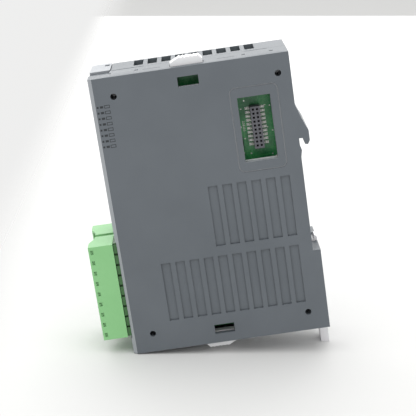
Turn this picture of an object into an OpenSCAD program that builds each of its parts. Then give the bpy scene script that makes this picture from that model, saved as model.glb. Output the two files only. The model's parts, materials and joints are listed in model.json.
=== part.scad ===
// Slim DIN-rail input/output module for a programmable controller.
// The origin is the centre of the rail seat on the rear face. +Y points at the rail,
// -Y at the operator, +Z up, and +X is the side that takes the next module.

/* [Case] */
// Width of the case across both halves
case_w = 25.2; // [25.2:0.1:30]
// Height of the case
case_h = 90; // [90:1:100]
// Depth from the rail seat to the front edge of the side face
case_d = 60; // [60:1:70]
// Thickness of the two side walls
side_wall = 1.8; // [1.6:0.1:2]
// Thickness of the top, bottom, rear and front walls
rim_wall = 1.6; // [1.4:0.1:1.8]
// How far the front panel stands forward of the side faces
front_rise = 1.2; // [1:0.1:1.4]
// X position of the seam between the two halves
seam_x = 0.9; // [0.7:0.1:1.1]

/* [DIN rail] */
// Height of the rail that the seat takes
rail_h = 35; // [35:1:35]
// How far the lower lugs stand behind the seat
lug_depth = 2.4; // [2.2:0.1:2.6]
// Travel of the rail latch from open to locked
latch_travel = 3; // [2:0.5:3]
// How far the latch's pull tab hangs below the case when it is open
tab_reach = 9.3; // [6:0.1:10]

/* [Terminals] */
// Number of poles on each plug
poles = 9; // [6:1:9]
// Distance from pole to pole
pole_pitch = 3.5; // [3.5:0.1:3.5]
// Width of one plug across the module
plug_w = 10.8; // [10.8:0.1:10.8]
// How far a seated plug stands out of the front edge
plug_reach = 10; // [9:0.5:11]

/* [Expansion bus] */
// Contacts in one row of the bus connectors
bus_rows = 10; // [8:1:10]
// Distance from contact to contact
bus_pitch = 1.27; // [1.27:0.01:1.27]

/* [Locking levers] */
// Length of the levers along the module
lever_len = 10; // [9:0.5:10]
// Height of the levers above the case when they are open
lever_rise = 2.5; // [2.2:0.1:2.6]

/* [Ribbed side] */
// Distance between the grooves in the side face
groove_pitch = 4.53; // [4.4:0.01:4.6]
// Width of a groove
groove_w = 3; // [2.6:0.1:3.2]
// Depth of a groove
groove_depth = 0.6; // [0.3:0.1:0.8]

/* [Hidden] */
half_w = case_w / 2;
half_h = case_h / 2;
front_y = -case_d - front_rise;
seam_gap = 0.15;
mark_depth = 0.05;
eps = 0.01;
round_fn = 48;

// Insides of the case
cavity_x = half_w - side_wall;
cavity_z = half_h - rim_wall;
cavity_front = front_y + side_wall;
cavity_rear = -side_wall;
lug_top = -rail_h / 2 - 1.1;
bezel_depth = 6.5;
bezel_rear = front_y + bezel_depth;

// Screw posts at the four corners, and the board posts
post_spots = [[-54.1, 38.9], [-3.9, 38.9], [-54.1, -38.9], [-3.9, -38.9]];
pilot_d = 2;
post_d = 4.6;
screw_head_d = 3.8;
board_post_spots = [[-44, 30], [-24, 30], [-44, 2], [-24, -30]];

// Circuit boards: both stand parallel to the side faces
board_t = 1.6;
board_face = 5;
board_z = 42.3;
board_front = -55.6;
board_rear = -2.6;

// Window for the neighbouring module's bus plug
window_lo = [-17.2, 12.7];
window_hi = [-7.1, 33];
bus_y = -12.1;
bus_z = 22.2;
bus_len = bus_rows * bus_pitch + 0.7;
bus_socket_h = 3.4;
bus_shroud_tip = -half_w - 6.9;

// Openings for the neighbour's prongs, and the levers beside them
prong_y = -31.1;
prong_window = [6.4, 3.1];
prong_window_z = 40.45;
lever_x = [5.7, 9.8];
lever_tongue_x = 7.4;
lever_gap = 0.2;
top_lever_y = -30.9;
bottom_lever_y = -32.6;

// Terminal plugs, their headers and the small board that carries the headers
plug_len = poles * pole_pitch;
plug_bottom = -39.1;
plug_top = plug_bottom + plug_len;
plug_x = [1.1, 1.1 + plug_w];
plug_rear = -case_d - 2.2;
plug_front = -case_d - plug_reach;
header_x = [1.2, 10.9];
header_front = plug_rear + 0.1;
header_rear = -57.5;
header_floor = header_rear - 0.7;
socket_x = [2.6, 10.2];
socket_z = [plug_bottom + 0.7, plug_top - 0.7];
pin_x = 6.4;
terminal_board_y = [header_rear + 0.1, header_rear + 1];

// Rail latch channel at the lower rear
latch_x = [-5.5, 3.3];
claw_x = [-1.4, 3];
latch_groove = 1.2;
latch_front = -2;
latch_top = -18.1;
channel_top = latch_top + latch_travel + 1.9;

// ---- Helpers ----

// Box between two opposite corners
module block(lo, hi) {
    translate(lo) cube(hi - lo);
}

// Outline in the YZ plane, extruded along X
module prism_x(points, x0, x1) {
    translate([x0, 0, 0]) rotate([90, 0, 90]) linear_extrude(x1 - x0) polygon(points);
}

// Outline in the XY plane, extruded along Z
module prism_z(points, z0, z1) {
    translate([0, 0, z0]) linear_extrude(z1 - z0) polygon(points);
}

// Rod along X
module rod_x(d, x0, x1) {
    translate([x0, 0, 0]) rotate([0, 90, 0]) cylinder(d = d, h = x1 - x0, $fn = round_fn);
}

// Slab facing X with round corners
module round_slab(x0, x1, lo, hi, r) {
    block([x0, lo[0] + r, lo[1]], [x1, hi[0] - r, hi[1]]);
    block([x0, lo[0], lo[1] + r], [x1, hi[0], hi[1] - r]);
    for (y = [lo[0] + r, hi[0] - r], z = [lo[1] + r, hi[1] - r])
        translate([0, y, z]) rod_x(2 * r, x0, x1);
}

// Repeats its children once for each pole
module each_pole() {
    for (i = [0:poles - 1])
        translate([0, 0, plug_bottom + pole_pitch * (i + 0.5)]) children();
}

// ---- Case ----

// Side outline, with the rail hook and the lower lugs
case_outline = [
    [-case_d, -half_h], [lug_depth, -half_h], [lug_depth, lug_top], [0, lug_top],
    [0, 12], [0.45, 14.1], [0, 15.8], [0, 17.9], [1.2, 17.8], [1.6, 15.9], [2.5, 15.7],
    [3.2, 16.9], [3.2, 20.1], [2.3, 21.9], [1.1, 25.2], [0, 28.4], [0, half_h],
    [-case_d, half_h]
];

// Space for the rail latch, wider inside than at the rear
module latch_channel(grow = 0) {
    block([latch_x[0] - grow, latch_front - grow, -half_h - eps],
        [latch_x[1] + grow, lug_depth + eps, channel_top + grow]);
    block([latch_x[0] - latch_groove - grow, latch_front - grow, -half_h - eps],
        [latch_x[1] + latch_groove + grow, -0.4 + grow, channel_top + grow]);
}

// Solid wall around the latch channel, clipped to one half
module latch_housing(x0, x1) {
    intersection() {
        block([x0, -8, -half_h], [x1, -eps, 0]);
        latch_channel(1.3);
    }
}

// Opening for one terminal header, mirrored for the other half
module terminal_opening() {
    block([-0.5, front_y - eps, plug_bottom - 0.5], [11.85, header_rear, plug_top + 0.5]);
}

module side_grooves() {
    for (i = [0:9])
        block([half_w - groove_depth, -48.05 + groove_pitch * i, -35.3],
            [half_w + 1, -48.05 + groove_pitch * i + groove_w, -16]);
    for (i = [4:9])
        block([half_w - groove_depth, -48.05 + groove_pitch * i, -12.8],
            [half_w + 1, -48.05 + groove_pitch * i + groove_w, 6.8]);
}

// Generic printed legend beside the front edge: a block, a bar and a box on each line
module mark_shapes(x_top) {
    x = [half_w - mark_depth, x_top];
    for (i = [0:7]) translate([0, -case_d, 36.2 - 1.77 * i]) {
        block([x[0], 0.3, -0.3], [x[1], 0.9, 0.3]);
        block([x[0], 1.3, -0.35], [x[1], 2.3, 0.35]);
        difference() {
            block([x[0], 2.6, -0.5], [x[1], 4.3, 0.5]);
            block([x[0] - 1, 2.8, -0.3], [x[1] + 1, 4.1, 0.3]);
        }
    }
}

// Fine line that frames the bus window
module window_frame_line() {
    difference() {
        round_slab(half_w - 0.25, half_w + 1, [-19.5, 9.6], [-4.5, 36.3], 2);
        round_slab(half_w - 1, half_w + 2, [-19.15, 9.95], [-4.85, 35.95], 1.65);
    }
}

module lever_slot(y, side) {
    block([lever_x[0] - lever_gap, y - lever_len / 2 - lever_gap, min(side * cavity_z, side * half_h) - 1],
        [lever_x[1] + lever_gap, y + lever_len / 2 + lever_gap, max(side * cavity_z, side * half_h) + 1]);
}

module right_case() color("slategray") {
    difference() {
        union() {
            difference() {
                union() {
                    prism_x(case_outline, seam_x + seam_gap / 2, half_w);
                    prism_z([[seam_x + seam_gap / 2, -case_d + eps], [half_w, -case_d + eps],
                        [half_w - 1, front_y], [seam_x + seam_gap / 2, front_y]], -half_h, half_h);
                }
                block([-1, cavity_front, -cavity_z], [cavity_x, cavity_rear, cavity_z]);
            }
            for (p = post_spots)
                translate([0, p[0], p[1]]) rod_x(post_d, seam_x + seam_gap / 2, cavity_x + eps);
            for (p = board_post_spots) translate([0, p[0], p[1]]) {
                rod_x(3.4, board_face + 0.05, cavity_x + eps);
                rod_x(1.6, board_face - 1.4, cavity_x);
            }
            for (end = [-1, 1], lever = [[top_lever_y, 1], [bottom_lever_y, -1]])
                translate([8.6, lever[0] + end * (lever_len / 2 + 1.8), lever[1] * 41])
                    cube([4.6, 1.2, 5], center = true);
            latch_housing(seam_x + seam_gap / 2, 8);
        }
        for (p = post_spots) translate([0, p[0], p[1]]) rod_x(pilot_d, 0, half_w + 1);
        side_grooves();
        mark_shapes(half_w + 1);
        window_frame_line();
        block([cavity_x - 1, window_lo[0], window_lo[1]], [half_w + 1, window_hi[0], window_hi[1]]);
        for (side = [-1, 1])
            block([cavity_x - 1, prong_y - prong_window[0] / 2, side * prong_window_z - prong_window[1] / 2],
                [half_w + 1, prong_y + prong_window[0] / 2, side * prong_window_z + prong_window[1] / 2]);
        lever_slot(top_lever_y, 1);
        lever_slot(bottom_lever_y, -1);
        latch_channel();
        terminal_opening();
        // Recesses for the label plate and beside the front panel
        block([2.4, front_y - 1, 2], [10.6, front_y + 0.7, 40]);
        block([0, front_y - 1, half_h - 0.5], [6.5, bezel_rear - 0.1, half_h + 1]);
        // Snap windows, seam grooves and moulding lines in the top and bottom walls
        for (y = [-54.8, -46.4, -13.4, -4.8], side = [-1, 1])
            translate([6.6, y, side * half_h]) cube([1.1, 1.1, 4.4], center = true);
        for (y = [-49.2, -9.2], side = [-1, 1])
            translate([seam_x, y, side * half_h]) cube([1, y < -20 ? 10 : 7.2, 0.8], center = true);
        for (y = [-41.7, -18.8], side = [-1, 1])
            translate([7.4, y, side * half_h]) cube([0.35, 5.4, 0.6], center = true);
    }
}

// One prong that enters the neighbouring module, with a notch for its lever
module joining_prong(side) {
    difference() {
        block([-half_w - 7, prong_y - 2.5, side * prong_window_z - 1.2],
            [-half_w + 0.5, prong_y + 2.5, side * prong_window_z + 1.2]);
        translate([-half_w - 4, prong_y, side * (prong_window_z + 1.2)]) cube([2.9, 6, 3.2], center = true);
    }
}

module left_case() color("slategray") {
    difference() {
        union() {
            difference() {
                prism_x(case_outline, -half_w, seam_x - seam_gap / 2);
                block([-cavity_x, -case_d - 1, -cavity_z], [seam_x, cavity_rear, cavity_z]);
                block([-case_w, -case_d - 1, -case_h], [case_w, bezel_rear + 0.1, case_h]);
            }
            for (p = post_spots)
                if (p[0] > bezel_rear + post_d / 2)
                    translate([0, p[0], p[1]]) rod_x(post_d + 0.4, -cavity_x - eps, seam_x - seam_gap / 2);
            for (p = post_spots)
                if (p[0] <= bezel_rear + post_d / 2) intersection() {
                    translate([0, p[0], p[1]]) rod_x(post_d + 0.4, -cavity_x - eps, seam_x - seam_gap / 2);
                    block([-case_w, bezel_rear + 0.1, -case_h], [case_w, 0, case_h]);
                }
            for (p = board_post_spots) translate([0, p[0], p[1]]) {
                rod_x(3.4, -cavity_x - eps, -board_face - 0.05);
                rod_x(1.6, -cavity_x, -board_face + 1.4);
            }
            latch_housing(-9, seam_x - seam_gap / 2);
            for (side = [-1, 1]) joining_prong(side);
        }
        for (p = post_spots) translate([0, p[0], p[1]]) {
            rod_x(2.4, -half_w - 1, 2);
            rod_x(4.3, -half_w - 1, -half_w + 2.4);
        }
        block([-half_w - 1, window_lo[0], window_lo[1]], [-cavity_x + 1, window_hi[0], window_hi[1]]);
        latch_channel();
        mirror([1, 0, 0]) terminal_opening();
        // Cooling slots through the top and bottom walls
        for (i = [0:8], side = [-1, 1])
            translate([-6.9, -46.1 + 4.39 * i, side * half_h]) cube([9.4, 3, 5], center = true);
    }
}

// Front panel of the left half, with the indicator window and its two snap tabs
module front_bezel() color("gainsboro") {
    difference() {
        block([-half_w, front_y, -half_h], [seam_x - seam_gap / 2, bezel_rear - 0.1, half_h + 0.2]);
        block([-cavity_x, cavity_front, -cavity_z], [seam_x, bezel_rear, cavity_z]);
        block([-10.2, front_y - 1, 6], [-1.8, cavity_front + 1, 39]);
        mirror([1, 0, 0]) terminal_opening();
        prism_z([[-half_w - 1, -case_d], [-half_w, -case_d], [-half_w + 1, front_y],
            [-half_w + 1, front_y - 1], [-half_w - 1, front_y - 1]], -case_h, case_h);
        translate([-9, bezel_rear - 1.4, half_h + 0.2]) cube([2.6, 1.6, 0.8], center = true);
        for (p = post_spots) translate([0, p[0], p[1]]) rod_x(post_d + 1, -half_w - 1, 2);
    }
    for (side = [-1, 1]) {
        translate([-7.4, bezel_rear - 1.6, side * 43]) cube([3.6, 3, 1.6], center = true);
        translate([-7.4, bezel_rear + 0.5, side * 42.6]) cube([3.6, 7, 1], center = true);
    }
}

module led_lens() color("white", 0.6) {
    block([-10, front_y + 0.15, 6.2], [-2, front_y + 1.4, 38.8]);
    for (i = [0:7])
        translate([-5.9, front_y + 1.3, 10.25 + 3.5 * i]) rotate([-90, 0, 0])
            cylinder(d = 1.8, h = 2.2, $fn = round_fn);
}

module label_plate() color("whitesmoke") {
    block([2.5, front_y + 0.1, 2.1], [10.5, front_y + 0.65, 39.9]);
}

// Self-tapping screws driven from the left side
module case_screws() color("silver") {
    for (p = post_spots) translate([0, p[0], p[1]]) difference() {
        union() {
            rod_x(screw_head_d, -half_w + 0.9, -half_w + 2.35);
            rod_x(1.9, -half_w + 2.3, 6.5);
        }
        translate([-half_w + 0.9, 0, 0]) {
            cube([1.6, 0.5, 2.4], center = true);
            cube([1.6, 2.4, 0.5], center = true);
        }
    }
}

// ---- Boards ----

// Board outline, cut back for the rail latch
board_outline = [
    [board_front, -board_z], [-9.5, -board_z], [-9.5, channel_top + 2], [board_rear, channel_top + 2],
    [board_rear, board_z], [board_front, board_z]
];

module board(x0) {
    difference() {
        prism_x(board_outline, x0, x0 + board_t);
        for (p = post_spots) translate([0, p[0], p[1]]) rod_x(post_d + 1.2, x0 - 1, x0 + board_t + 1);
        for (p = board_post_spots) translate([0, p[0], p[1]]) rod_x(1.8, x0 - 1, x0 + board_t + 1);
    }
}

module main_board() color("seagreen") board(board_face - board_t);

module io_board() color("seagreen") board(-board_face);

// Board across the front that carries the two terminal headers
module terminal_board() color("seagreen") {
    difference() {
        block([-10.6, terminal_board_y[0], -42], [10.6, terminal_board_y[1], -5]);
        for (side = [-1, 1]) each_pole() translate([side * pin_x, 0, 0])
            block([-0.42, -58, -0.42], [0.42, -56, 0.42]);
    }
}

// Bent pins that join the terminal board to the two upright boards
module terminal_board_links() color("silver") {
    for (i = [1:poles - 1], side = [-1, 1])
        translate([side * (board_face + 0.22), 0, plug_bottom + pole_pitch * i])
            block([-0.2, terminal_board_y[1], -0.3], [0.2, board_front + 2, 0.3]);
}

link_y = -30;
link_z = -4;
link_half = board_face - board_t;

module board_link_socket() color("dimgray") {
    difference() {
        block([-1.9, link_y - 2.5, link_z - 13], [link_half - 0.02, link_y + 2.5, link_z + 13]);
        for (i = [0:9], side = [-1, 1])
            translate([0, link_y + side * 1.27, link_z + 2.54 * (i - 4.5)]) cube([6, 1, 1], center = true);
    }
}

module board_link_pins() color("goldenrod") {
    block([-link_half + 0.02, link_y - 2.5, link_z - 13], [-1.95, link_y + 2.5, link_z + 13]);
    for (i = [0:9], side = [-1, 1])
        translate([-0.2, link_y + side * 1.27, link_z + 2.54 * (i - 4.5)])
            cube([3.6, 0.64, 0.64], center = true);
}

// ---- Expansion bus ----

// Repeats its children at each bus contact
module each_bus_contact() {
    for (i = [0:bus_rows - 1], side = [-1, 1])
        translate([0, bus_y + side * bus_pitch / 2, bus_z + bus_pitch * (i - (bus_rows - 1) / 2)]) children();
}

module bus_socket() color("darkslategray") {
    difference() {
        block([board_face + 0.02, bus_y - 1.55, bus_z - bus_len / 2],
            [board_face + bus_socket_h, bus_y + 1.55, bus_z + bus_len / 2]);
        each_bus_contact() translate([board_face + bus_socket_h, 0, 0]) cube([5.6, 0.62, 0.62], center = true);
    }
}

module bus_socket_contacts() color("silver") {
    for (i = [0:bus_rows - 1], side = [-1, 1]) {
        z = bus_z + bus_pitch * (i - (bus_rows - 1) / 2);
        translate([board_face + 0.17, bus_y + side * 2.15, z]) cube([0.3, 1.1, 0.45], center = true);
    }
}

module bus_plug_shroud() color("darkslategray") {
    difference() {
        union() {
            block([bus_shroud_tip, bus_y - 2.9, bus_z - 8.1], [-board_face - 0.02, bus_y + 2.9, bus_z + 8.1]);
            block([-half_w + 2.4, bus_y - 3.9, bus_z - 8.9], [-half_w + 3.4, bus_y + 3.9, bus_z + 8.9]);
        }
        block([bus_shroud_tip - 1, bus_y - 1.95, bus_z - 7.1], [-half_w + 2, bus_y + 1.95, bus_z + 7.1]);
        each_bus_contact() block([-half_w, -0.25, -0.25], [-board_face + 1, 0.25, 0.25]);
    }
}

module bus_plug_pins() color("goldenrod") {
    each_bus_contact() block([bus_shroud_tip + 0.9, -0.2, -0.2], [-board_face - 0.02, 0.2, 0.2]);
}

// ---- Terminals; side b is the mirror image of side a ----

module header() {
    difference() {
        union() {
            block([header_x[0], header_front, plug_bottom], [header_x[1], header_rear, plug_top]);
            each_pole() block([header_x[1] - 0.5, header_front, -1.4], [header_x[1] + 0.8, header_rear, 1.4]);
        }
        block([socket_x[0], header_front - 1, socket_z[0]], [socket_x[1], header_floor, socket_z[1]]);
        each_pole() block([pin_x - 0.42, -60, -0.42], [pin_x + 0.42, -50, 0.42]);
    }
}

module header_pins() {
    each_pole() block([pin_x - 0.4, -63, -0.4], [pin_x + 0.4, terminal_board_y[1] + 0.3, 0.4]);
}

// Outline of the plug across the module: wire entries outside, sloped screw face inside
plug_outline = [
    [plug_x[0], plug_rear], [plug_x[0], plug_front + 1.6], [2.9, plug_front + 1.6],
    [7.2, plug_front], [plug_x[1], plug_front], [plug_x[1], plug_rear]
];
screw_tilt = 20;
screw_mouth = [5, plug_front + 0.8];

// Places its children on the axis of the tilted clamping screw, which points into the plug
module on_screw_axis() {
    translate([screw_mouth[0], screw_mouth[1], 0]) rotate([-90, 0, -screw_tilt]) children();
}

module plug_body() {
    difference() {
        union() {
            prism_z(plug_outline, plug_bottom, plug_top);
            block([socket_x[0] + 0.3, plug_rear - 1, socket_z[0] + 0.3],
                [socket_x[1] - 0.3, header_floor - 0.3, socket_z[1] - 0.3]);
        }
        each_pole() {
            block([8, plug_front - 1, -1.25], [11, -66.2, 1.25]);
            block([5.6, -66.3, -1.4], [11, -63.2, 1.4]);
            block([pin_x - 0.7, -65, -0.7], [pin_x + 0.7, header_rear, 0.7]);
            on_screw_axis() translate([0, 0, -1]) cylinder(d = 2.6, h = 4.6, $fn = round_fn);
            block([plug_x[1] - 0.5, plug_front + 0.6, -0.65], [plug_x[1] + 1, plug_front + 1.5, 0.65]);
        }
    }
}

module clamp_cages() {
    each_pole() difference() {
        block([5.8, -66.1, -1.3], [10.8, -63.4, 1.3]);
        block([8.2, -67, -0.9], [10.3, -63, 0.9]);
    }
}

module clamp_screws() {
    each_pole() on_screw_axis() difference() {
        union() {
            translate([0, 0, 0.7]) cylinder(d = 2.4, h = 0.9, $fn = round_fn);
            translate([0, 0, 1.5]) cylinder(d = 1.7, h = 1.3, $fn = round_fn);
        }
        translate([0, 0, 0.7]) cube([3, 0.4, 0.9], center = true);
    }
}

module header_a() color("forestgreen") header();
module header_a_pins() color("silver") header_pins();
module plug_a_body() color("lightgreen") plug_body();
module plug_a_clamps() color("silver") clamp_cages();
module plug_a_screws() color("gainsboro") clamp_screws();

module header_b() color("forestgreen") mirror([1, 0, 0]) header();
module header_b_pins() color("silver") mirror([1, 0, 0]) header_pins();
module plug_b_body() color("lightgreen") mirror([1, 0, 0]) plug_body();
module plug_b_clamps() color("silver") mirror([1, 0, 0]) clamp_cages();
module plug_b_screws() color("gainsboro") mirror([1, 0, 0]) clamp_screws();

// ---- Levers and latch ----

// Locking lever with a ridged grip, for the top of the case; the bottom one is the same part turned over
module lever() {
    grip_top = half_h + lever_rise;
    difference() {
        union() {
            prism_x([
                [-lever_len / 2, half_h - 0.6], [lever_len / 2, half_h - 0.6],
                [lever_len / 2, half_h + 1.2], [lever_len / 2 - 1.2, grip_top],
                [-lever_len / 2 + 3, grip_top], [-lever_len / 2, half_h + 1]
            ], lever_x[0], lever_x[1]);
            block([lever_tongue_x, -lever_len / 2, half_h - 2.9], [lever_x[1], lever_len / 2, half_h]);
            block([lever_tongue_x, -lever_len / 2 - 0.9, half_h - 2.9],
                [lever_x[1], lever_len / 2 + 0.9, half_h - 1.9]);
        }
        for (i = [-2:2])
            translate([0, 0.9 + 1.15 * i, grip_top + 0.4]) rod_x(1.3, lever_x[0] - 1, lever_x[1] + 1);
    }
}

module top_lever() color("white") translate([0, top_lever_y, 0]) lever();

module bottom_lever() color("white") translate([0, bottom_lever_y, 0]) rotate([180, 0, 0]) lever();

// Sliding latch: a claw for the rail's lower flange, two spring legs in the channel's grooves,
// and a pull tab with a screwdriver slot
module rail_latch() color("lightgray") {
    tab_bottom = -half_h - tab_reach;
    difference() {
        union() {
            block([latch_x[0] - 0.9, -1.75, -44.7], [latch_x[1] + 0.9, -0.7, -31]);
            block([latch_x[0] + 0.3, -1.75, -44.7], [latch_x[1] - 0.3, 1.2, -34]);
            block([latch_x[0] + 0.9, -0.3, tab_bottom], [latch_x[1] - 0.9, lug_depth, -36]);
            block([claw_x[0], -1.75, -35], [claw_x[1], 0.9, latch_top]);
            prism_x([[0.8, -23], [lug_depth, -21.5], [lug_depth, -17.4], [1.5, -16.6],
                [1.2, latch_top], [0.8, latch_top]], claw_x[0], claw_x[1]);
            block([latch_x[0] - 0.9, -1.75, -32], [latch_x[0], -0.9, -22]);
            block([latch_x[0] - 0.9, -1.75, -22.9], [latch_x[0] + 2, -0.9, -22]);
        }
        block([-3.4, -1, tab_bottom + 1.2], [1.2, lug_depth + 1, tab_bottom + 2.2]);
    }
}

// ---- Parts on the boards ----

// Chip body with a row of leads on two sides, standing on the face at x along direction dir
module chip(x, dir, y, z, w, l, t, leads) {
    translate([x + dir * (t / 2 + 0.12), y, z]) cube([t, w, l], center = true);
    for (i = [0:leads - 1], side = [-1, 1])
        translate([x + dir * 0.32, y + side * (w / 2 + 0.5), z + (l - 1.2) * (i / (leads - 1) - 0.5)])
            cube([0.6, 1.2, 0.4], center = true);
}

module logic_chips() color("darkslategray") {
    chip(board_face, 1, -38, 14, 7, 9, 1.2, 10);
    chip(board_face, 1, -33, -16, 4, 5, 1.4, 4);
    chip(board_face, 1, -18, -10, 4, 8.6, 1.4, 7);
}

module optocouplers() color("black") {
    for (i = [0:7])
        chip(-board_face, -1, -42, -32.5 + 4.4 * i, 4.4, 2.6, 2, 2);
}

module output_drivers() color("dimgray") {
    for (i = [0:3])
        chip(-board_face, -1, -18, -30 + 6.8 * i, 3.9, 5, 1.5, 4);
}

module filter_capacitors() color("silver") {
    for (p = [[-33, 25], [-33, 34]]) translate([-board_face - 0.02, p[0], p[1]]) {
        rotate([0, -90, 0]) cylinder(d = 6.3, h = 5.2, $fn = round_fn);
    }
    translate([board_face + 0.02, -50, 26]) rotate([0, 90, 0]) cylinder(d = 5, h = 5, $fn = round_fn);
}

module power_inductor() color("black") {
    translate([-board_face - 0.02, -33, 14]) {
        rotate([0, -90, 0]) cylinder(d = 6, h = 3.4, $fn = round_fn);
        block([-0.8, -3.2, -3.2], [0, 3.2, 3.2]);
    }
}

module chip_passives() color("peru") {
    for (i = [0:7])
        block([-board_face - 0.62, -48, -33.3 + 4.4 * i], [-board_face - 0.02, -46.4, -32.4 + 4.4 * i]);
    for (i = [0:5])
        block([board_face + 0.02, -28, -24 + 2.6 * i], [board_face + 0.62, -26.4, -23.1 + 2.6 * i]);
}

module status_leds() color("palegreen") {
    for (i = [0:7])
        translate([-board_face - 0.62, board_front + 0.8, 10.25 + 3.5 * i])
            cube([1.2, 1.5, 1.5], center = true);
}

module side_marks() color("black") mark_shapes(half_w);

right_case();
left_case();
front_bezel();
led_lens();
label_plate();
case_screws();
main_board();
io_board();
terminal_board();
terminal_board_links();
board_link_socket();
board_link_pins();
bus_socket();
bus_socket_contacts();
bus_plug_shroud();
bus_plug_pins();
header_a();
header_a_pins();
header_b();
header_b_pins();
plug_a_body();
plug_a_clamps();
plug_a_screws();
plug_b_body();
plug_b_clamps();
plug_b_screws();
top_lever();
bottom_lever();
rail_latch();
status_leds();
logic_chips();
optocouplers();
output_drivers();
filter_capacitors();
power_inductor();
chip_passives();
side_marks();
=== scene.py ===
import json
import math
import random

import bmesh
import bpy
from mathutils import Matrix, Vector


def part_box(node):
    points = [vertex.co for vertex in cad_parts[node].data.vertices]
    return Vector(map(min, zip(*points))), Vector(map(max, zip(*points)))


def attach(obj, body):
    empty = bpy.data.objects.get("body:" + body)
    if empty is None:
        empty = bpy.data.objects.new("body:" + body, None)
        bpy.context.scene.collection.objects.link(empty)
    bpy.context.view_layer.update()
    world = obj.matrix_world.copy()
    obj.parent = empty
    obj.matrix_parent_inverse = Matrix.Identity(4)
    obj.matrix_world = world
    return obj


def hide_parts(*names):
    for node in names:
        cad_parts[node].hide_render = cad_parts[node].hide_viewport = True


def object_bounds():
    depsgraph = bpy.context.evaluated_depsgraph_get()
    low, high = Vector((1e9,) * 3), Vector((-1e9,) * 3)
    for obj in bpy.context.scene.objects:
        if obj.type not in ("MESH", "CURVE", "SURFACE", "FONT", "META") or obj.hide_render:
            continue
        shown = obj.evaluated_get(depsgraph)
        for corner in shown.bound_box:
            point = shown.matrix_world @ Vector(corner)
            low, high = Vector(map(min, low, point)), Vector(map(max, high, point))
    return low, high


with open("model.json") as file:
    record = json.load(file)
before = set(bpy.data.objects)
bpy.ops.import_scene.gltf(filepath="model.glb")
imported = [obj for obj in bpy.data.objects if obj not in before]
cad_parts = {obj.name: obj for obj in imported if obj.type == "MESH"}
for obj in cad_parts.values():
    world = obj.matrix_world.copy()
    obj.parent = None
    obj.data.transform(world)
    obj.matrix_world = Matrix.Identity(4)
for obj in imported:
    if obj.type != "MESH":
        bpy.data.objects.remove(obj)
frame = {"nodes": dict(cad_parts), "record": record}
cad_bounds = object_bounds()
nodes = frame["nodes"]
body_of = {n: b for b, names in frame["record"]["behaviour"]["bodies"].items() for n in names}
MM = 0.001
WELD = 0.002  # mm, between points of one corner
SAME_PLANE = 0.002  # mm, and the difference of unit normals
SHARP_ANGLE = math.radians(32)
BLEND_LIMIT = math.cos(math.radians(38))  # faces that turn less than this shade as one


# ---------- Materials ----------

def linear(rgb):
    """Display values 0 to 255 as linear colour."""
    out = []
    for v in rgb:
        v /= 255
        out.append(v / 12.92 if v <= 0.04045 else ((v + 0.055) / 1.055) ** 2.4)
    return (*out, 1.0)


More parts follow.
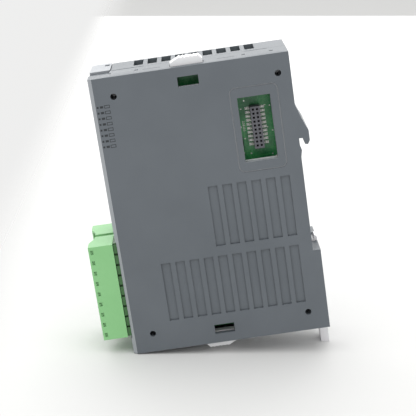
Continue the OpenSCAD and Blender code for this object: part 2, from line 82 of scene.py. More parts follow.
def finish_of(name, light, dark, rough=(0.45, 0.55), patch=45, grain=2600, bump=0.02,
              crevice_shade=0.0, edge=None, speckle=None, **shader):
    """Procedural material: blotches between two colours, a fine grain in roughness and bump, and
    painted shade that darkens the crevices through an ambient occlusion node. edge is a second colour
    for faces that don't point along X."""
    mat = bpy.data.materials.new(name)
    mat.use_nodes = True
    tree = mat.node_tree
    tree.nodes.clear()
    make, join = tree.nodes.new, tree.links.new
    output, principled = make("ShaderNodeOutputMaterial"), make("ShaderNodeBsdfPrincipled")
    join(principled.outputs[0], output.inputs[0])
    where = make("ShaderNodeTexCoord")

    blotch = make("ShaderNodeTexNoise")
    blotch.inputs["Scale"].default_value = patch
    blotch.inputs["Detail"].default_value = 4
    join(where.outputs["Object"], blotch.inputs["Vector"])
    spread = make("ShaderNodeMapRange")
    spread.inputs["From Min"].default_value = 0.35
    spread.inputs["From Max"].default_value = 0.65
    join(blotch.outputs["Fac"], spread.inputs["Value"])
    colour = make("ShaderNodeMix")
    colour.data_type = "RGBA"
    colour.inputs["A"].default_value = linear(dark)
    colour.inputs["B"].default_value = linear(light)
    join(spread.outputs["Result"], colour.inputs["Factor"])
    result = colour.outputs["Result"]

    fine = make("ShaderNodeTexNoise")
    fine.inputs["Scale"].default_value = grain
    fine.inputs["Detail"].default_value = 2
    join(where.outputs["Object"], fine.inputs["Vector"])

    if speckle:
        dots = make("ShaderNodeMapRange")
        dots.inputs["From Min"].default_value = 0.62
        dots.inputs["From Max"].default_value = 0.7
        join(fine.outputs["Fac"], dots.inputs["Value"])
        over = make("ShaderNodeMix")
        over.data_type = "RGBA"
        over.inputs["B"].default_value = linear(speckle)
        join(result, over.inputs["A"])
        join(dots.outputs["Result"], over.inputs["Factor"])
        result = over.outputs["Result"]
    if edge:
        parts = make("ShaderNodeSeparateXYZ")
        join(where.outputs["Normal"], parts.inputs[0])
        size = make("ShaderNodeMath")
        size.operation = "ABSOLUTE"
        join(parts.outputs["X"], size.inputs[0])
        side = make("ShaderNodeMath")
        side.operation = "LESS_THAN"
        side.inputs[1].default_value = 0.6
        join(size.outputs[0], side.inputs[0])
        cut = make("ShaderNodeMix")
        cut.data_type = "RGBA"
        cut.inputs["B"].default_value = linear(edge)
        join(result, cut.inputs["A"])
        join(side.outputs[0], cut.inputs["Factor"])
        result = cut.outputs["Result"]
    # Painted shade: ambient occlusion darkens the colour in crevices and corners
    if crevice_shade:
        hidden = make("ShaderNodeAmbientOcclusion")
        hidden.samples = 6
        hidden.inputs["Distance"].default_value = 0.0005
        shade = make("ShaderNodeMapRange")
        shade.inputs["To Min"].default_value = 1 - crevice_shade
        join(hidden.outputs["AO"], shade.inputs["Value"])
        painted_shade = make("ShaderNodeMix")
        painted_shade.data_type = "RGBA"
        painted_shade.blend_type = "MULTIPLY"
        painted_shade.inputs["Factor"].default_value = 1
        join(result, painted_shade.inputs["A"])
        join(shade.outputs["Result"], painted_shade.inputs["B"])
        result = painted_shade.outputs["Result"]
    join(result, principled.inputs["Base Color"])

    gloss = make("ShaderNodeMapRange")
    gloss.inputs["From Min"].default_value = 0.3
    gloss.inputs["From Max"].default_value = 0.7
    gloss.inputs["To Min"].default_value = rough[0]
    gloss.inputs["To Max"].default_value = rough[1]
    join(fine.outputs["Fac"], gloss.inputs["Value"])
    join(gloss.outputs["Result"], principled.inputs["Roughness"])

    relief = make("ShaderNodeBump")
    relief.inputs["Strength"].default_value = 0.6
    relief.inputs["Distance"].default_value = bump * MM
    join(fine.outputs["Fac"], relief.inputs["Height"])
    join(relief.outputs["Normal"], principled.inputs["Normal"])
    for key, value in shader.items():
        principled.inputs[key.replace("_", " ")].default_value = value
    return mat


# The crevice value adds painted shade in the hollows of these finishes
case_grey = finish_of("case_plastic", (97, 103, 109), (92, 98, 104), (0.4, 0.52), crevice_shade=0.4)
# The bezel grey is the bezel's own colour and also a painted highlight on faces of the right case half
bezel_and_highlight_grey = finish_of("bezel_plastic_and_highlight", (158, 162, 166), (151, 155, 160), (0.4, 0.52), crevice_shade=0.35)
lens = finish_of("lens_plastic", (150, 158, 160), (140, 149, 152), (0.16, 0.24), bump=0.004,
                 Transmission_Weight=0.55)
# The label grey is the label card's own colour and also a painted highlight on the bus window lip's
# bottom strip
label_and_sill_highlight = finish_of("label_card_and_sill_highlight", (214, 216, 217), (206, 208, 210), (0.5, 0.62), patch=80)
steel = finish_of("plated_steel", (176, 178, 180), (150, 152, 156), (0.25, 0.42), patch=600,
                  Metallic=1.0)
board = finish_of("solder_mask", (58, 146, 84), (34, 112, 66), (0.22, 0.34), patch=170, grain=1500,
                  bump=0.01, edge=(150, 158, 92))
mask_over_copper = finish_of("mask_over_copper", (80, 164, 96), (62, 148, 80), (0.2, 0.3), patch=300,
                             bump=0.01)
black = finish_of("moulding_black", (52, 53, 57), (44, 45, 49), (0.42, 0.55))
grey_connector = finish_of("connector_plastic", (104, 104, 110), (90, 91, 97), (0.4, 0.52), crevice_shade=0.5)
gold = finish_of("gold_plating", (214, 178, 96), (198, 160, 80), (0.2, 0.32), patch=700, Metallic=1.0)
tin = finish_of("tin_plating", (222, 222, 220), (196, 196, 192), (0.28, 0.45), patch=900, Metallic=0.55)
header_green = finish_of("header_plastic", (62, 108, 60), (54, 98, 52), (0.42, 0.55), crevice_shade=0.5)
plug_green = finish_of("plug_plastic", (140, 198, 137), (132, 191, 129), (0.42, 0.54), crevice_shade=0.5)
lever_white = finish_of("lever_plastic", (241, 241, 242), (236, 236, 238), (0.4, 0.52), crevice_shade=0.25)
latch_white = finish_of("latch_plastic", (238, 237, 239), (232, 231, 234), (0.42, 0.55), crevice_shade=0.25)
led_resin = finish_of("led_resin", (176, 226, 170), (150, 210, 146), (0.15, 0.25), bump=0.004)
chip_black = finish_of("chip_resin", (44, 44, 46), (36, 36, 38), (0.5, 0.62), grain=5000,
                       speckle=(62, 62, 64))
aluminium = finish_of("can_sleeve", (190, 192, 195), (172, 174, 178), (0.25, 0.4), patch=500,
                      Metallic=0.9)
can_stripe = finish_of("can_stripe", (40, 42, 48), (32, 34, 40), (0.4, 0.5))
ferrite = finish_of("ferrite_core", (62, 60, 60), (48, 46, 46), (0.6, 0.75), grain=3500, bump=0.03)
copper = finish_of("enamelled_copper", (178, 104, 58), (160, 88, 46), (0.2, 0.35), patch=900,
                   Metallic=1.0)
ceramic = finish_of("ceramic_body", (176, 146, 112), (160, 130, 98), (0.45, 0.6), patch=900)
ink = finish_of("print_ink", (36, 38, 41), (30, 32, 35), (0.5, 0.65), patch=900)
soft_ink = finish_of("etched_mark", (42, 45, 49), (36, 39, 43), (0.5, 0.65), patch=900)
solder = finish_of("solder", (246, 246, 242), (232, 232, 226), (0.3, 0.42), patch=900, Metallic=0.1)
silk = finish_of("silkscreen_ink", (226, 230, 222), (208, 214, 204), (0.55, 0.7), patch=1200)


# ---------- Mesh helpers, all in millimetres ----------

def mm_box(node):
    """Lowest and highest corner of a CAD node."""
    lo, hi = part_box(node)
    return lo / MM, hi / MM


def islands(node):
    """Boxes (lowest, highest corner) in mm of the separate solids of a CAD node, lowest Z first."""
    bm = from_node(node)
    left, found = set(bm.verts), []
    while left:
        todo = [left.pop()]
        points = [todo[0].co.copy()]
        while todo:
            for e in todo.pop().link_edges:
                for v in e.verts:
                    if v in left:
                        left.remove(v)
                        todo.append(v)
                        points.append(v.co.copy())
        found.append((Vector(min(p[i] for p in points) for i in range(3)),
                      Vector(max(p[i] for p in points) for i in range(3))))
    bm.free()
    return sorted(found, key=lambda b: (round(b[0].z, 2), round(b[0].y, 2)))


def from_node(node):
    """A CAD node's shape as a new mesh with whole faces instead of triangles."""
    bm = bmesh.new()
    bm.from_mesh(nodes[node].data)
    bm.transform(Matrix.Scale(1 / MM, 4))
    bmesh.ops.remove_doubles(bm, verts=bm.verts, dist=WELD)
    bmesh.ops.dissolve_limit(bm, angle_limit=math.radians(0.7), verts=bm.verts, edges=bm.edges)
    bm.normal_update()
    return bm


def soften(bm, width, segments=2, keep=None):
    """Rounds the sharp outward edges that keep(edge) picks, or all of them, as on a moulded part.
    The layer "rounded" marks the faces this adds, which are those in none of the old planes."""
    rounded = bm.faces.layers.int.get("rounded") or bm.faces.layers.int.new("rounded")
    bm.normal_update()
    planes = {}
    for f in bm.faces:
        planes.setdefault(tuple(round(c, 1) + 0.0 for c in f.normal), []).append(
            (f.normal.copy(), f.normal.dot(f.verts[0].co)))
    sharp = [e for e in bm.edges if len(e.link_faces) == 2 and e.is_convex
             and e.calc_face_angle(0) > SHARP_ANGLE and (keep is None or keep(e))]
    made = bmesh.ops.bevel(bm, geom=sharp, offset=width, offset_type="OFFSET", segments=segments,
                           profile=0.5, affect="EDGES", clamp_overlap=True)
    bm.normal_update()
    for f in made["faces"]:
        old = planes.get(tuple(round(c, 1) + 0.0 for c in f.normal), ())
        level = f.normal.dot(f.verts[0].co)
        same = any((n - f.normal).length < SAME_PLANE and abs(d - level) < SAME_PLANE for n, d in old)
        f[rounded] = int(not same)


def block(bm, lo, hi, slot=0):
    """A box between two corners."""
    lo, hi = Vector(lo), Vector(hi)
    made = bmesh.ops.create_cube(bm, size=1, matrix=Matrix.Translation((lo + hi) / 2)
                                 @ Matrix.Diagonal((*(hi - lo), 1)))
    for f in {f for v in made["verts"] for f in v.link_faces}:
        f.material_index = slot
    return made["verts"]


def merge(bm, part):
    """Moves a part's mesh into bm, and returns how many faces bm had before."""
    before = len(bm.faces)
    mesh = bpy.data.meshes.new("part")
    part.to_mesh(mesh)
    part.free()
    bm.from_mesh(mesh)
    bpy.data.meshes.remove(mesh)
    return before


def extrude_outline(bm, points, place, slot=0):
    """A closed outline, placed at both ends by place(point, end)."""
    ends = [[bm.verts.new(place(p, end)) for p in points] for end in (0, 1)]
    faces = [bm.faces.new(ends[0]), bm.faces.new(ends[1][::-1])]
    count = len(points)
    for i in range(count):
        j = (i + 1) % count
        faces.append(bm.faces.new((ends[0][j], ends[0][i], ends[1][i], ends[1][j])))
    for f in faces:
        f.material_index = slot
    return faces


def turned(bm, profile, origin, axis, around=40, slot=0):
    """A solid of revolution: profile is (radius, height) pairs, closed on the axis at both ends."""
    turn = Vector((0, 0, 1)).rotation_difference(Vector(axis)).to_matrix()
    rings = []
    for r, h in profile:
        if r < 1e-6:
            rings.append([bm.verts.new(turn @ Vector((0, 0, h)) + Vector(origin))])
        else:
            rings.append([bm.verts.new(turn @ Vector((r * math.cos(a), r * math.sin(a), h))
                                       + Vector(origin))
                          for a in (2 * math.pi * i / around for i in range(around))])
    for a, b in zip(rings, rings[1:]):
        for i in range(around):
            j = (i + 1) % around
            corners = [a[i % len(a)], a[j % len(a)], b[j % len(b)], b[i % len(b)]]
            unique = list(dict.fromkeys(corners))
            if len(unique) > 2:
                bm.faces.new(unique).material_index = slot


def even_normals(bm):
    """Corner normals: whole faces shade flat, rounded edges and round walls blend into them."""
    rounded = bm.faces.layers.int.get("rounded")
    result = []
    for f in bm.faces:
        near = 0.0 if rounded and f[rounded] else BLEND_LIMIT
        for loop in f.loops:
            around = loop.vert.link_faces
            whole = [g for g in around if not (rounded and g[rounded])]
            total = Vector()
            for g in whole or around:
                if g.normal.dot(f.normal) >= near:
                    total += g.normal * max(g.calc_area(), 1e-9)
            result.append((total.normalized() if total.length > 1e-12 else f.normal)[:])
    return result


def piece(name, bm, mats, body, stands_for=()):
    """Makes the object, gives it its body and finish, and hides the CAD nodes that it stands for."""
    bmesh.ops.recalc_face_normals(bm, faces=bm.faces)
    bm.normal_update()
    corners = even_normals(bm)
    bm.transform(Matrix.Scale(MM, 4))
    mesh = bpy.data.meshes.new(name)
    bm.to_mesh(mesh)
    bm.free()
    for m in mats if isinstance(mats, (list, tuple)) else [mats]:
        mesh.materials.append(m)
    obj = bpy.data.objects.new(name, mesh)
    bpy.context.scene.collection.objects.link(obj)
    for f in mesh.polygons:
        f.use_smooth = True
    mesh.normals_split_custom_set(corners)
    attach(obj, body)
    if stands_for:
        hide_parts(*stands_for)
    return obj


def moulded(node, mat, width=0.15, segments=2):
    """A CAD node's shape with rounded edges, in its place."""
    bm = from_node(node)
    for f in bm.faces:
        f.material_index = 0
    soften(bm, width, segments)
    return piece(node + "_piece", bm, mat, body_of[node], (node,))


# ---------- Case ----------

case_low, case_high = mm_box("right_case")
front_depth = 1.0  # of the front panel's face and its sloped edge
frame_line_depth = 0.25
side_wall_reach = 2.6
window_y, window_z = (-57.5, -2), 41  # all the side windows lie within these
outline_y, outline_z = (-58.5, -1.2), 43.5  # the case's outline lies outside these


def painted_highlight_slot(f):
    """Painted highlight: the front, the bus window's frame line and the side windows' walls take the
    lighter bezel grey, standing in for light on the same plastic.
    """
    c, n = f.calc_center_median(), f.normal
    inwards = case_high.x - c.x
    front = n.y < -0.3 and c.y < case_low.y + front_depth
    frame_line = n.x > 0.9 and abs(inwards - frame_line_depth) < 0.03
    wall = (abs(n.x) < 0.3 and 0.3 < inwards < side_wall_reach and f.calc_area() > 2
            and window_y[0] < c.y < window_y[1] and abs(c.z) < window_z)
    return int(front or frame_line or wall)


def outer_edge(e):
    """Long edges round the outside faces, which have the largest radius."""
    m = (e.verts[0].co + e.verts[1].co) / 2
    inside = outline_y[0] < m.y < outline_y[1] and abs(m.z) < outline_z
    return abs(abs(m.x) - case_high.x) < 0.05 and not inside and e.calc_length() > 1.5


def small_edge(e):
    """Edges of the finer features, apart from the shallow pockets of the side marks."""
    return min(f.calc_area() for f in e.link_faces) > 0.12


for half in ("right_case", "left_case"):
    bm = from_node(half)
    for f in bm.faces:
        # On the right half the second slot paints highlights on the front, the frame line and the
        # window walls
        f.material_index = painted_highlight_slot(f) if half == "right_case" else 0
    soften(bm, 0.3, 3, outer_edge)
    soften(bm, 0.07, 2, small_edge)
    piece(half + "_piece", bm, [case_grey, bezel_and_highlight_grey], "root", (half,))
moulded("front_bezel", bezel_and_highlight_grey, 0.25, 3)

# Lip inside the bus window, which carries its edge inwards; its bottom strip takes the light label grey
# as a painted highlight
opening = next(o for o in frame["record"]["physics"]["openings"] if o["name"] == "bus_window")
low, high = Vector(opening["box_m"][0]) / MM, Vector(opening["box_m"][1]) / MM
lip_gap, lip_wall, lip_depths = 0.1, 0.9, (3.4, 1.5)
in_y, in_z = (low.y - lip_gap, high.y + lip_gap), (low.z - lip_gap, high.z + lip_gap)
out_y, out_z = (in_y[0] - lip_wall, in_y[1] + lip_wall), (in_z[0] - lip_wall, in_z[1] + lip_wall)
bm = bmesh.new()
for a, b, sill_highlight in (((out_y[0], out_z[0]), (out_y[1], in_z[0]), 1),
                   ((out_y[0], in_z[1]), (out_y[1], out_z[1]), 0),
                   ((out_y[0], in_z[0]), (in_y[0], in_z[1]), 0),
                   ((in_y[1], in_z[0]), (out_y[1], in_z[1]), 0)):
    block(bm, (case_high.x - lip_depths[0], *a), (case_high.x - lip_depths[1], *b), sill_highlight)
piece("bus_window_lip", bm, [case_grey, label_and_sill_highlight], "root")
moulded("led_lens", lens, 0.25, 3)
moulded("label_plate", label_and_sill_highlight, 0.15, 2)
moulded("case_screws", steel, 0.1, 2)
nodes["side_marks"].data.materials.clear()
nodes["side_marks"].data.materials.append(soft_ink)

# Ruled lines on the label: one field for each indicator
lo, hi = mm_box("label_plate")
bm = bmesh.new()
front, margin, fields = lo.y, 2.2, 8
for i in range(fields + 1):
    z = lo.z + margin + (hi.z - lo.z - 2 * margin) * i / fields
    block(bm, (lo.x + 0.7, front - 0.015, z - 0.06), (hi.x - 0.7, front + 0.05, z + 0.06))
for x in (lo.x + 0.7, lo.x + 2.6, hi.x - 0.82):
    block(bm, (x, front - 0.015, lo.z + 2.1), (x + 0.12, front + 0.05, hi.z - 2.1))
piece("label_lines", bm, ink, "root")

# ---------- Boards ----------

for name in ("main_board", "io_board", "terminal_board"):
    moulded(name, board, 0.06, 1)
moulded("terminal_board_links", tin, 0.05, 1)
moulded("board_link_socket", black, 0.12, 2)
moulded("board_link_pins", gold, 0.08, 1)


def traces(bm, x, side, y_range, z_range, count, seed, keep_out=()):
    """Copper tracks under the solder mask, on the board face at x; returns the spots where through
    holes may go.
    """
    rng = random.Random(seed)
    spots = []
    for _ in range(count):
        y, z = rng.uniform(*y_range), rng.uniform(*z_range)
        w = rng.choice((0.2, 0.25, 0.4))
        thick = 0.022 + 0.006 * (len(spots) % 5)
        spots.append((y, z))
        for _ in range(rng.randint(2, 4)):
            run = rng.uniform(1.5, 7)
            if rng.random() < 0.5:
                y2, z2 = min(max(y + rng.choice((-1, 1)) * run, y_range[0]), y_range[1]), z
            else:
                y2, z2 = y, min(max(z + rng.choice((-1, 1)) * run, z_range[0]), z_range[1])
            a = (min(y, y2) - w / 2, min(z, z2) - w / 2)
            b = (max(y, y2) + w / 2, max(z, z2) + w / 2)
            if not any(a[0] < k[2] and b[0] > k[0] and a[1] < k[3] and b[1] > k[1] for k in keep_out):
                block(bm, (min(x, x + side * thick), *a), (max(x, x + side * thick), *b))
            y, z = y2, z2
        spots.append((y, z))
    return spots


def clear_of(spots, zones):
    """The spots (y, z) that are outside all the zones."""
    return [s for s in spots if not any(k[0] < s[0] < k[2] and k[1] < s[1] < k[3] for k in zones)]


def zone(lo, hi, room):
    """Where a part stands on the board, with room round it: lowest y and z, highest y and z."""
    return lo.y - room, lo.z - room, hi.y + room, hi.z + room


def vias(bm, x, side, spots):
    """Plated through holes, as low rings on the board face at x."""
    for y, z in spots:
        turned(bm, [(0, 0.045), (0.1, 0.045), (0.22, 0.05), (0.25, 0.0), (0, 0)],
               (x, y, z), (side, 0, 0), 14, 1)


main_x = mm_box("main_board")[1].x
io_x = mm_box("io_board")[0].x
main_lo, main_hi = mm_box("main_board")
socket_lo, socket_hi = mm_box("bus_socket")
pad_box = mm_box("bus_socket_contacts")
chips = islands("logic_chips")
away = [zone(*b, 0.4) for b in chips] + [zone(*pad_box, 0.6)]
post_room = 3.2
screw_mids = [(lo + hi) / 2 for lo, hi in islands("case_screws")]
fixings = [zone(m, m, post_room) for m in screw_mids]
latch_housing = (-10, -46, 0, -10)
fixings.append(latch_housing)
bm = bmesh.new()
free = (main_lo.y + 1.5, main_hi.y - 1.5), (main_lo.z + 1.5, main_hi.z - 1.5)
spots = traces(bm, main_x, 1, *free, 70, 7, away + fixings)
near = (socket_lo.y - 3.4, socket_hi.y + 3.2), (socket_lo.z - 3, socket_hi.z + 3)
spots += traces(bm, main_x, 1, *near, 7, 21, away)
open_view = (socket_lo.y - 2.2, socket_lo.z - 1.5, socket_hi.y + 2.2, socket_hi.z + 1.5)
vias(bm, main_x, 1, clear_of(spots, away + fixings + [open_view]))
piece("main_board_copper", bm, [mask_over_copper, tin], "root")

parts_io = islands("optocouplers") + islands("output_drivers")
away_io = [zone(*b, 0.3) for b in parts_io]
bm = bmesh.new()
spots = traces(bm, io_x, -1, *free, 60, 11, away_io + fixings)
vias(bm, io_x, -1, clear_of(spots, away_io + fixings))
piece("io_board_copper", bm, [mask_over_copper, tin], "root")

# Printed outlines round the chips and generic marks beside the bus socket
bm = bmesh.new()


def frame_line(bm, x, side, y0, z0, y1, z1, w=0.14):
    a, b = sorted((x, x + side * 0.05))
    block(bm, (a, y0, z0), (b, y1, z0 + w))
    block(bm, (a, y0, z1 - w), (b, y1, z1))
    block(bm, (a, y0, z0 + w), (b, y0 + w, z1 - w))
    block(bm, (a, y1 - w, z0 + w), (b, y1, z1 - w))


for b in chips:
    frame_line(bm, main_x, 1, *zone(*b, 0.35))
for b in parts_io:
    frame_line(bm, io_x, -1, *zone(*b, 0.25))
mark_y = pad_box[0].y - 1.2
for i in range(6):
    z = socket_lo.z + 5.4 + 0.56 * i
    block(bm, (main_x, mark_y - 0.42, z), (main_x + 0.05, mark_y - 0.26, z + 0.4))
    block(bm, (main_x, mark_y - 0.26, z), (main_x + 0.05, mark_y + 0.3, z + (0.13, 0.2)[i % 2]))
far_y = pad_box[1].y + 0.45
for y, z, long, tall in ((mark_y - 0.6, socket_hi.z - 1.2, 0.45, 0.35),
                         (far_y, socket_hi.z - 0.75, 0.35, 0.3), (far_y, socket_lo.z + 5.5, 0.3, 0.4)):
    block(bm, (main_x, y, z), (main_x + 0.05, y + long, z + tall))
piece("board_print", bm, silk, "root")

# ---------- Bus connectors ----------

moulded("bus_socket", grey_connector, 0.1, 2)


def gull_wing(bm, x, side_x, y, side_y, z, rise, out, width, slot=0, thick=0.15):
    """A bent lead from a package wall at y, rise mm above the board face at x, down to a foot."""
    knee = 0.28 * out
    line = [(rise + thick, 0), (rise + thick, knee), (thick, knee + 0.3 * out), (thick, out),
            (0.02, out), (0.02, knee + 0.22 * out), (rise, knee - 0.5 * thick), (rise, 0)]

    def place(p, end):
        return (x + side_x * p[0], y + side_y * p[1], z + (end - 0.5) * width)

    extrude_outline(bm, line, place, slot)


# Leads, solder and pads of the bus socket
bm = bmesh.new()
for lo, hi in islands("bus_socket_contacts"):
    y, z = (lo.y + hi.y) / 2, (lo.z + hi.z) / 2
    side = 1 if y > (socket_lo.y + socket_hi.y) / 2 else -1
    wall = socket_hi.y if side > 0 else socket_lo.y
    block(bm, (main_x, min(wall + side * 0.1, wall + side * 1.5), z - 0.42),
          (main_x + 0.04, max(wall + side * 0.1, wall + side * 1.5), z + 0.42))
    gull_wing(bm, main_x + 0.03, 1, wall, side, z, 0.5, 1.1, 0.5)
    turned(bm, [(0, 0.3), (0.3, 0.28), (0.42, 0.14), (0.46, 0.03), (0, 0.0)],
           (main_x + 0.02, wall + side * 0.95, z), (1, 0, 0), 14)
piece("bus_socket_leads", bm, solder, "root", ("bus_socket_contacts",))

moulded("bus_plug_shroud", black, 0.15, 2)

# Square plug pins with pointed ends
bm = bmesh.new()
for lo, hi in islands("bus_plug_pins"):
    cy, cz, r = (lo.y + hi.y) / 2, (lo.z + hi.z) / 2, (hi.y - lo.y) / 2
    rings = []
    for x, k in ((lo.x, 0.35), (lo.x + 0.5, 1), (hi.x, 1)):
        rings.append([bm.verts.new((x, cy + a * r * k, cz + b * r * k))
                      for a, b in ((-1, -1), (1, -1), (1, 1), (-1, 1))])
    bm.faces.new(rings[0])
    bm.faces.new(rings[-1][::-1])
    for a, b in zip(rings, rings[1:]):
        for i in range(4):
            bm.faces.new((a[i], a[(i + 1) % 4], b[(i + 1) % 4], b[i]))
piece("bus_plug_pin_set", bm, gold, "root", ("bus_plug_pins",))

# ---------- Terminals ----------

for side in ("a", "b"):
    moulded("header_" + side, header_green, 0.12, 2)
    moulded(f"header_{side}_pins", tin, 0.1, 1)
    moulded(f"plug_{side}_body", plug_green, 0.22, 3)
    moulded(f"plug_{side}_clamps", steel, 0.1, 1)
    moulded(f"plug_{side}_screws", steel, 0.12, 2)
    # A small latch nib in each side window
    lo, hi = mm_box(f"plug_{side}_body")
    out = 1 if side == "a" else -1
    face = hi.x if out > 0 else lo.x
    count = len(islands(f"plug_{side}_clamps"))
    pitch = (hi.z - lo.z) / count
    bm = bmesh.new()
    for i in range(count):
        z = lo.z + pitch * (i + 0.5)
        x0, x1 = sorted((face - out * 0.5, face - out * 0.12))
        block(bm, (x0, lo.y + 0.62, z - 0.6), (x1, lo.y + 0.88, z + 0.25))
    soften(bm, 0.05, 1)
    piece(f"plug_{side}_nibs", bm, plug_green, body_of[f"plug_{side}_body"])

# ---------- Levers and latch ----------

moulded("top_lever", lever_white, 0.18, 3)
moulded("bottom_lever", lever_white, 0.18, 3)
moulded("rail_latch", latch_white, 0.18, 3)

# ---------- Parts on the boards ----------


def packages(name, node, side, lead_out, pitch):
    """Chips with bent leads, a chamfered body and a pin 1 dimple, one for each CAD solid."""
    face = main_x if side > 0 else io_x
    bm = bmesh.new()
    for lo, hi in islands(node):
        top = hi.x if side > 0 else lo.x
        y0, y1 = lo.y + lead_out, hi.y - lead_out
        body = bmesh.new()
        a, b = sorted((face + side * 0.12, top))
        block(body, (a, y0, lo.z), (b, y1, hi.z))
        soften(body, 0.12, 2)
        merge(bm, body)
        turned(bm, [(0, 0.01), (0.26, 0.01), (0.3, -0.05), (0, -0.05)],
               (top - side * 0.02, y0 + 0.75, hi.z - 0.8), (side, 0, 0), 18, 2)
        span = hi.z - lo.z - 1.2
        leads = max(2, int(round(span / pitch)) + 1)
        for i in range(leads):
            z = lo.z + 0.6 + span * i / (leads - 1)
            for wall, out in ((y0, -1), (y1, 1)):
                gull_wing(bm, face, side, wall, out, z, abs(top - face) * 0.45, lead_out, 0.36, 1)
    piece(name, bm, [chip_black, tin, ink], "root", (node,))


packages("logic_chip_set", "logic_chips", 1, 1.1, 0.87)
packages("optocoupler_set", "optocouplers", -1, 1.1, 1.4)
packages("output_driver_set", "output_drivers", -1, 1.1, 1.27)

# Aluminium capacitors: a beaded can with a stripe on a moulded base
bm = bmesh.new()
for lo, hi in islands("filter_capacitors"):
    side = 1 if lo.x > 0 else -1
    r, h = (hi.y - lo.y) / 2, hi.x - lo.x
    foot = (lo.x if side > 0 else hi.x, (lo.y + hi.y) / 2, (lo.z + hi.z) / 2)
    turned(bm, [(0, h), (r * 0.72, h), (r * 0.78, h - 0.06), (r * 0.9, h), (r * 0.95, h - 0.12),
                (r * 0.96, 1.6), (r * 0.9, 1.45), (r * 0.9, 1.3), (r * 0.96, 1.15), (r * 0.96, 0.9),
                (0, 0.9)], foot, (side, 0, 0), 48, 0)
    base = bmesh.new()
    a, b = sorted((foot[0], foot[0] + side * 1.0))
    block(base, (a, foot[1] - r, foot[2] - r), (b, foot[1] + r, foot[2] + r))
    soften(base, 0.3, 1)
    start = merge(bm, base)
    bm.faces.ensure_lookup_table()
    for f in bm.faces[start:]:
        f.material_index = 1
    for f in bm.faces[:start]:
        c = f.calc_center_median()
        y, z = c.y - foot[1], c.z - foot[2]
        on_wall = abs(c.x - foot[0]) > 1.6 and math.hypot(y, z) > 0.93 * r
        if f.material_index == 0 and on_wall and y < -0.62 * r and abs(z) < 0.8 * r:
            f.material_index = 1
piece("filter_capacitor_set", bm, [aluminium, can_stripe], "root",
      ("filter_capacitors",))

# Choke: a square ferrite base, a drum core and its winding
lo, hi = mm_box("power_inductor")
mid = (lo + hi) / 2
r, h = (hi.z - lo.z) / 2, hi.x - lo.x
foot = (hi.x, mid.y, mid.z)
bm = bmesh.new()
turned(bm, [(0, h), (r * 0.86, h), (r * 0.92, h - 0.08), (r * 0.92, h - 0.5), (r * 0.6, h - 0.55),
            (r * 0.6, 0.85), (0, 0.85)], foot, (-1, 0, 0), 48, 0)
base = bmesh.new()
block(base, (foot[0] - 0.8, lo.y, lo.z), (foot[0], hi.y, hi.z))
soften(base, 0.45, 2)
merge(bm, base)
piece("choke_core", bm, ferrite, "root", ("power_inductor",))
wire, pitch, around, tube = 0.13, 0.27, 40, 8


def wire_point(x, turn, t):
    out = r * 0.74 + wire * math.sin(t)
    return x + wire * math.cos(t), foot[1] + out * math.cos(turn), foot[2] + out * math.sin(turn)


bm = bmesh.new()
for i in range(int((h - 1.5) / pitch)):
    x = foot[0] - 0.98 - pitch * i
    rings = [[bm.verts.new(wire_point(x, 2 * math.pi * k / around, 2 * math.pi * m / tube))
              for m in range(tube)] for k in range(around)]
    for k in range(around):
        a, b = rings[k], rings[(k + 1) % around]
        for m in range(tube):
            bm.faces.new((a[m], a[(m + 1) % tube], b[(m + 1) % tube], b[m]))
piece("choke_winding", bm, copper, "root")

# Chip resistors and capacitors with metal ends
bm = bmesh.new()
for lo, hi in islands("chip_passives"):
    third = (hi.y - lo.y) * 0.24
    for a, b, slot, grow in ((lo.y, lo.y + third, 1, 0.0), (lo.y + third, hi.y - third, 0, -0.04),
                             (hi.y - third, hi.y, 1, 0.0)):
        part = bmesh.new()
        block(part, (lo.x - min(grow, 0), a, lo.z - grow), (hi.x + min(grow, 0), b, hi.z + grow), 0)
        soften(part, 0.05, 1)
        for f in part.faces:
            f.material_index = slot
        merge(bm, part)
piece("chip_passive_set", bm, [ceramic, tin], "root", ("chip_passives",))

# Indicator diodes: a white reflector cup with a resin window and metal ends
bm = bmesh.new()
for lo, hi in islands("status_leds"):
    part = bmesh.new()
    block(part, (lo.x, lo.y + 0.15, lo.z), (hi.x, hi.y, hi.z))
    soften(part, 0.08, 1)
    merge(bm, part)
    mid = (lo + hi) / 2
    turned(bm, [(0, 0.16), (0.3, 0.14), (0.46, 0.06), (0.5, -0.05), (0, -0.05)],
           (mid.x, lo.y + 0.17, mid.z), (0, -1, 0), 24, 1)
    block(bm, (lo.x - 0.02, lo.y + 0.35, lo.z - 0.05), (hi.x + 0.02, hi.y - 0.3, lo.z + 0.2), 2)
    block(bm, (lo.x - 0.02, lo.y + 0.35, hi.z - 0.2), (hi.x + 0.02, hi.y - 0.3, hi.z + 0.05), 2)
piece("status_led_set", bm, [silk, led_resin, tin], "root", ("status_leds",))

# ---------- Floor, light and camera ----------

# The module stands on its front bottom edge and on the pulled-out latch tab, so the floor leans
bezel_low = mm_box("front_bezel")[0]
tab_lo, tab_hi = mm_box("rail_latch")
slope = (tab_lo.z - bezel_low.z) / (tab_hi.y - bezel_low.y)


def floor_z(y):
    return bezel_low.z + slope * (y - bezel_low.y) - 0.05


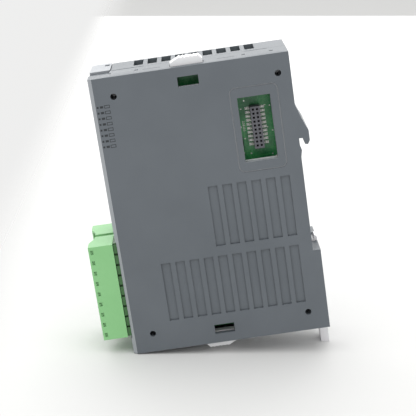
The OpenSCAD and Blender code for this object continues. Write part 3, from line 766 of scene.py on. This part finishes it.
bm = bmesh.new()
y_lines = [bezel_low.y - 76 + 12 * i for i in range(7)] + [bezel_low.y + 30 * i for i in range(1, 40)]
x_lines = [-1500, -900, -500, -250, -120, -60, 0, 60, 120, 250, 500]
grid = [[bm.verts.new((x, y, floor_z(y))) for x in x_lines] for y in y_lines]
for a, b in zip(grid, grid[1:]):
    for i in range(len(x_lines) - 1):
        bm.faces.new((a[i], a[i + 1], b[i + 1], b[i]))
bm.transform(Matrix.Scale(MM, 4))
mesh = bpy.data.meshes.new("floor")
bm.to_mesh(mesh)
bm.free()
floor = bpy.data.objects.new("floor", mesh)
bpy.context.scene.collection.objects.link(floor)
paper = finish_of("studio_paper", (217, 217, 216), (215, 215, 214), (0.75, 0.85), patch=6, grain=900,
                  bump=0.03)
tree = paper.node_tree
principled = next(n for n in tree.nodes if n.type == "BSDF_PRINCIPLED")
where = next(n for n in tree.nodes if n.type == "TEX_COORD")
split = tree.nodes.new("ShaderNodeSeparateXYZ")
tree.links.new(where.outputs["Object"], split.inputs[0])
fade = tree.nodes.new("ShaderNodeMapRange")
fade.interpolation_type = "SMOOTHSTEP"
fade.inputs["From Min"].default_value = (bezel_low.y - 74) * MM
fade.inputs["From Max"].default_value = (bezel_low.y - 30) * MM
tree.links.new(split.outputs["Y"], fade.inputs["Value"])
tree.links.new(fade.outputs["Result"], principled.inputs["Alpha"])
mesh.materials.append(paper)

scene = bpy.context.scene
scene.view_settings.view_transform = "Standard"
world = bpy.data.worlds.new("studio")
world.use_nodes = True
world.node_tree.nodes["Background"].inputs["Color"].default_value = (0.86, 0.86, 0.855, 1)
world.node_tree.nodes["Background"].inputs["Strength"].default_value = 1.0
scene.world = world

centre = (cad_bounds[0] + cad_bounds[1]) / 2


def soft_box(name, place, size, power):
    data = bpy.data.lights.new(name, "AREA")
    data.shape = "SQUARE"
    data.size = size
    data.energy = power
    lamp = bpy.data.objects.new(name, data)
    scene.collection.objects.link(lamp)
    lamp.location = place
    lamp.rotation_mode = "QUATERNION"
    lamp.rotation_quaternion = (Vector(place) - centre).to_track_quat("Z", "Y")
    lamp.visible_camera = False


soft_box("overhead", (0.12, -0.05, 0.75), 1.2, 5.2)
soft_box("behind", (-0.7, 0.0, 0.28), 1.0, 4.6)

# Camera: how it is turned, and where it stands from the point it looks towards, in mm
aim, stand_off = Vector((0, -30, 0)), Vector((-0.463, -3.603, 391.88))
pitch, yaw, roll = (math.radians(a) for a in (16.236, -1.046, 8.438))
turn = (Matrix.Rotation(roll, 3, "Z") @ Matrix.Rotation(pitch, 3, "X") @ Matrix.Rotation(yaw, 3, "Y")
        @ Matrix(((0, 1, 0), (0, 0, 1), (1, 0, 0)))).transposed()
lens_data = bpy.data.cameras.new("camera")
lens_data.sensor_width = 36
lens_data.lens = 105.71
lens_data.clip_start, lens_data.clip_end = 0.01, 10
camera = bpy.data.objects.new("camera", lens_data)
scene.collection.objects.link(camera)
camera.rotation_mode = "QUATERNION"
camera.rotation_quaternion = turn.to_quaternion()
camera.location = aim * MM + turn @ stand_off * MM
scene.camera = camera
